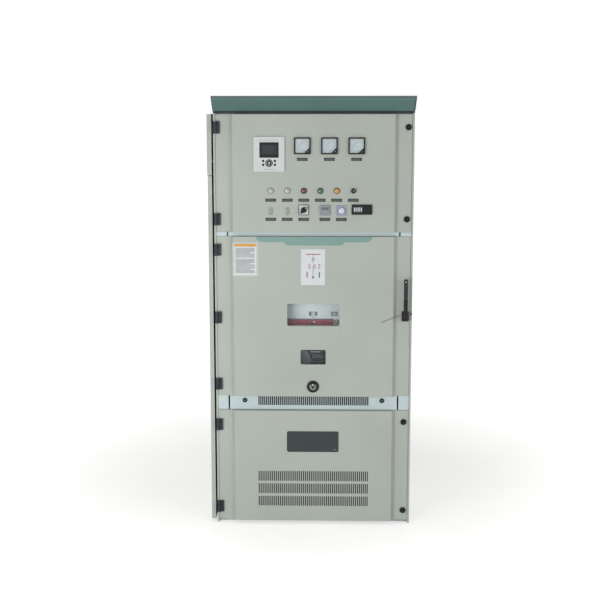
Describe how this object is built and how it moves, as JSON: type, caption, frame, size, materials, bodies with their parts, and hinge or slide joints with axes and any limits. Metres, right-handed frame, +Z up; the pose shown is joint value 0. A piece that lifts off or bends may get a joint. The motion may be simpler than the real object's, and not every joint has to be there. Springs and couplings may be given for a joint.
{
  "type": "metal-clad switchgear cabinet",
  "caption": "Tall withdrawable medium-voltage switchgear cabinet: hinged instrument, breaker and cable doors, breaker truck on rails, shutters, busbars and earthing switch inside.",
  "frame": {"origin": "on the floor, midway between the side walls and midway between the door strips and the rear covers", "axes": "+X to the right seen from the front, +Y to the back, +Z up; the doors face -Y"},
  "size_m": [1.037, 1.561, 2.2],
  "materials": {
    "body_paint": "powder coat, fine texture",
    "strip_paint": "powder coat, satin",
    "lintel_paint": "powder coat, satin",
    "zinc_sheet": "aluminium-zinc coated sheet",
    "hinge_casting": "black lacquered zinc die casting",
    "pin_steel": "turned steel",
    "cast_epoxy": "cast epoxy resin",
    "copper_bar": "rolled copper",
    "black_plastic": "moulded black plastic",
    "white_plastic": "moulded white plastic",
    "lamp_plastic": "clear and coloured lenses",
    "plate_print": "printed plate",
    "pane": "clear polycarbonate",
    "green_plastic": "moulded",
    "red_plastic": "moulded"
  },
  "bodies": {
    "cabinet": {"frame": "zinc_sheet", "left_wall": "body_paint", "right_wall": "body_paint", "end_panel": "body_paint", "floor_plate": "zinc_sheet", "roof": "body_paint", "rear_covers": "body_paint", "lintel": "lintel_paint", "front_strips": "strip_paint", "instrument_box": "zinc_sheet", "partitions": "zinc_sheet", "insulators": "cast_epoxy", "busbars": "copper_bar", "current_transformers": "cast_epoxy", "earthing_switch_frame": "pin_steel", "surge_arresters": "cast_epoxy", "terminal_board": "white_plastic", "hinge_leaves": "hinge_casting", "hinge_pins": "pin_steel"},
    "upper_door": {"instrument_door": "body_paint", "instrument_leaves": "hinge_casting", "meters": "black_plastic", "relay": "white_plastic", "lamps": "lamp_plastic", "panel_plates": "black_plastic"},
    "middle_door": {"breaker_door": "body_paint", "breaker_leaves": "hinge_casting", "breaker_windows": "pane", "breaker_plates": "plate_print", "escutcheon": "black_plastic", "handle_base": "hinge_casting"},
    "lower_door": {"cable_door": "body_paint", "cable_leaves": "hinge_casting", "cable_window": "pane"},
    "truck": {"truck_chassis": "zinc_sheet", "breaker_housing": "strip_paint", "breaker_poles": "cast_epoxy"},
    "selector_knob_body": {"selector_knob": "black_plastic"},
    "changeover_knob_body": {"changeover_knob": "black_plastic"},
    "push_button_body": {"push_button": "white_plastic"},
    "instrument_lock_top_body": {"instrument_lock_top": "black_plastic"},
    "instrument_lock_bottom_body": {"instrument_lock_bottom": "black_plastic"},
    "keyhole_flap_body": {"keyhole_flap": "hinge_casting"},
    "handle_lever_body": {"handle_lever": "hinge_casting"},
    "locking_bar_body": {"locking_bar": "zinc_sheet"},
    "cable_lock_top_body": {"cable_lock_top": "black_plastic"},
    "cable_lock_bottom_body": {"cable_lock_bottom": "black_plastic"},
    "vent_knob_left_body": {"vent_knob_left": "black_plastic"},
    "vent_knob_right_body": {"vent_knob_right": "black_plastic"},
    "racking_screw_body": {"racking_screw": "pin_steel"},
    "front_axle_body": {"front_axle": "pin_steel"},
    "rear_axle_body": {"rear_axle": "pin_steel"},
    "on_button_body": {"on_button": "green_plastic"},
    "off_button_body": {"off_button": "red_plastic"},
    "upper_shutter_body": {"upper_shutter": "zinc_sheet"},
    "lower_shutter_body": {"lower_shutter": "zinc_sheet"},
    "earthing_shaft_body": {"earthing_shaft": "pin_steel"},
    "front_relief_flap_body": {"front_relief_flap": "body_paint"},
    "middle_relief_flap_body": {"middle_relief_flap": "body_paint"},
    "rear_relief_flap_body": {"rear_relief_flap": "body_paint"}
  },
  "joints": [
    {"name": "upper_door_swing", "type": "hinge", "parent": "cabinet", "child": "upper_door", "pos_m": [-0.489, -0.762, 1.818], "axis": [0, 0, -1], "range_deg": [0, 110]},
    {"name": "middle_door_swing", "type": "hinge", "parent": "cabinet", "child": "middle_door", "pos_m": [-0.489, -0.762, 1.09], "axis": [0, 0, -1], "range_deg": [0, 110]},
    {"name": "lower_door_swing", "type": "hinge", "parent": "cabinet", "child": "lower_door", "pos_m": [-0.489, -0.762, 0.309], "axis": [0, 0, -1], "range_deg": [0, 110]},
    {"name": "instrument_lock_top_turn", "type": "hinge", "parent": "upper_door", "child": "instrument_lock_top_body", "pos_m": [0.47, -0.75, 2.047], "axis": [0, -1, 0], "range_deg": [0, 90]},
    {"name": "instrument_lock_bottom_turn", "type": "hinge", "parent": "upper_door", "child": "instrument_lock_bottom_body", "pos_m": [0.467, -0.75, 1.591], "axis": [0, -1, 0], "range_deg": [0, 90]},
    {"name": "cable_lock_top_turn", "type": "hinge", "parent": "lower_door", "child": "cable_lock_top_body", "pos_m": [0.464, -0.75, 0.545], "axis": [0, -1, 0], "range_deg": [0, 90]},
    {"name": "cable_lock_bottom_turn", "type": "hinge", "parent": "lower_door", "child": "cable_lock_bottom_body", "pos_m": [0.466, -0.75, 0.071], "axis": [0, -1, 0], "range_deg": [0, 90]},
    {"name": "vent_knob_left_turn", "type": "hinge", "parent": "cabinet", "child": "vent_knob_left_body", "pos_m": [-0.352, -0.75, 0.656], "axis": [0, -1, 0], "range_deg": [0, 90]},
    {"name": "vent_knob_right_turn", "type": "hinge", "parent": "cabinet", "child": "vent_knob_right_body", "pos_m": [0.352, -0.75, 0.656], "axis": [0, -1, 0], "range_deg": [0, 90]},
    {"name": "selector_turn", "type": "hinge", "parent": "upper_door", "child": "selector_knob_body", "pos_m": [0.198, -0.772, 1.734], "axis": [0, 1, 0], "range_deg": [-45, 45]},
    {"name": "changeover_turn", "type": "hinge", "parent": "upper_door", "child": "changeover_knob_body", "pos_m": [-0.049, -0.772, 1.639], "axis": [0, 1, 0], "range_deg": [-45, 45]},
    {"name": "push_button_press", "type": "slide", "parent": "upper_door", "child": "push_button_body", "axis": [0, 1, 0], "range_m": [0, 0.003], "stiffness_N_per_m": 400},
    {"name": "handle_turn", "type": "hinge", "parent": "middle_door", "child": "handle_lever_body", "pos_m": [0.4655, -0.75, 1.0985], "axis": [0, -1, 0], "range_deg": [0, 90]},
    {"name": "locking_bar_slide", "type": "slide", "parent": "middle_door", "child": "locking_bar_body", "axis": [0, 0, 1], "range_m": [-0.0126, 0]},
    {"name": "keyhole_flap_swing", "type": "hinge", "parent": "middle_door", "child": "keyhole_flap_body", "pos_m": [-0.002, -0.78, 0.756], "axis": [0, 1, 0], "range_deg": [0, 90]},
    {"name": "truck_travel", "type": "slide", "parent": "cabinet", "child": "truck", "axis": [0, 1, 0], "range_m": [0, 0.2]},
    {"name": "racking_screw_turn", "type": "hinge", "parent": "truck", "child": "racking_screw_body", "pos_m": [-0.002, -0.5, 0.735], "axis": [0, 1, 0], "range_deg": [0, 6000]},
    {"name": "front_axle_roll", "type": "hinge", "parent": "truck", "child": "front_axle_body", "pos_m": [0, -0.63, 0.6913], "axis": [-1, 0, 0], "range_deg": [0, 410]},
    {"name": "rear_axle_roll", "type": "hinge", "parent": "truck", "child": "rear_axle_body", "pos_m": [0, -0.31, 0.6913], "axis": [-1, 0, 0], "range_deg": [0, 410]},
    {"name": "upper_shutter_lift", "type": "slide", "parent": "cabinet", "child": "upper_shutter_body", "axis": [0, 0, 1], "range_m": [0, 0.25]},
    {"name": "lower_shutter_drop", "type": "slide", "parent": "cabinet", "child": "lower_shutter_body", "axis": [0, 0, -1], "range_m": [0, 0.25]},
    {"name": "on_button_press", "type": "slide", "parent": "truck", "child": "on_button_body", "axis": [0, 1, 0], "range_m": [0, 0.004], "stiffness_N_per_m": 400},
    {"name": "off_button_press", "type": "slide", "parent": "truck", "child": "off_button_body", "axis": [0, 1, 0], "range_m": [0, 0.004], "stiffness_N_per_m": 400},
    {"name": "earthing_turn", "type": "hinge", "parent": "cabinet", "child": "earthing_shaft_body", "pos_m": [0, 0.6, 0.62], "axis": [1, 0, 0], "range_deg": [0, 60]},
    {"name": "front_relief_flap_lift", "type": "hinge", "parent": "cabinet", "child": "front_relief_flap_body", "pos_m": [0, -0.32, 2.129], "axis": [1, 0, 0], "range_deg": [0, 90]},
    {"name": "middle_relief_flap_lift", "type": "hinge", "parent": "cabinet", "child": "middle_relief_flap_body", "pos_m": [0, 0.035, 2.129], "axis": [1, 0, 0], "range_deg": [0, 90]},
    {"name": "rear_relief_flap_lift", "type": "hinge", "parent": "cabinet", "child": "rear_relief_flap_body", "pos_m": [0, 0.36, 2.129], "axis": [1, 0, 0], "range_deg": [0, 90]}
  ],
  "couplings": [
    {"joint": "locking_bar_slide", "follows": "handle_turn", "m_per_rad": -0.008},
    {"joint": "racking_screw_turn", "follows": "truck_travel", "rad_per_m": 523.6},
    {"joint": "front_axle_roll", "follows": "truck_travel", "rad_per_m": 35.714},
    {"joint": "rear_axle_roll", "follows": "truck_travel", "rad_per_m": 35.714},
    {"joint": "upper_shutter_lift", "follows": "truck_travel", "ratio": 1.25},
    {"joint": "lower_shutter_drop", "follows": "truck_travel", "ratio": 1.25}
  ]
}
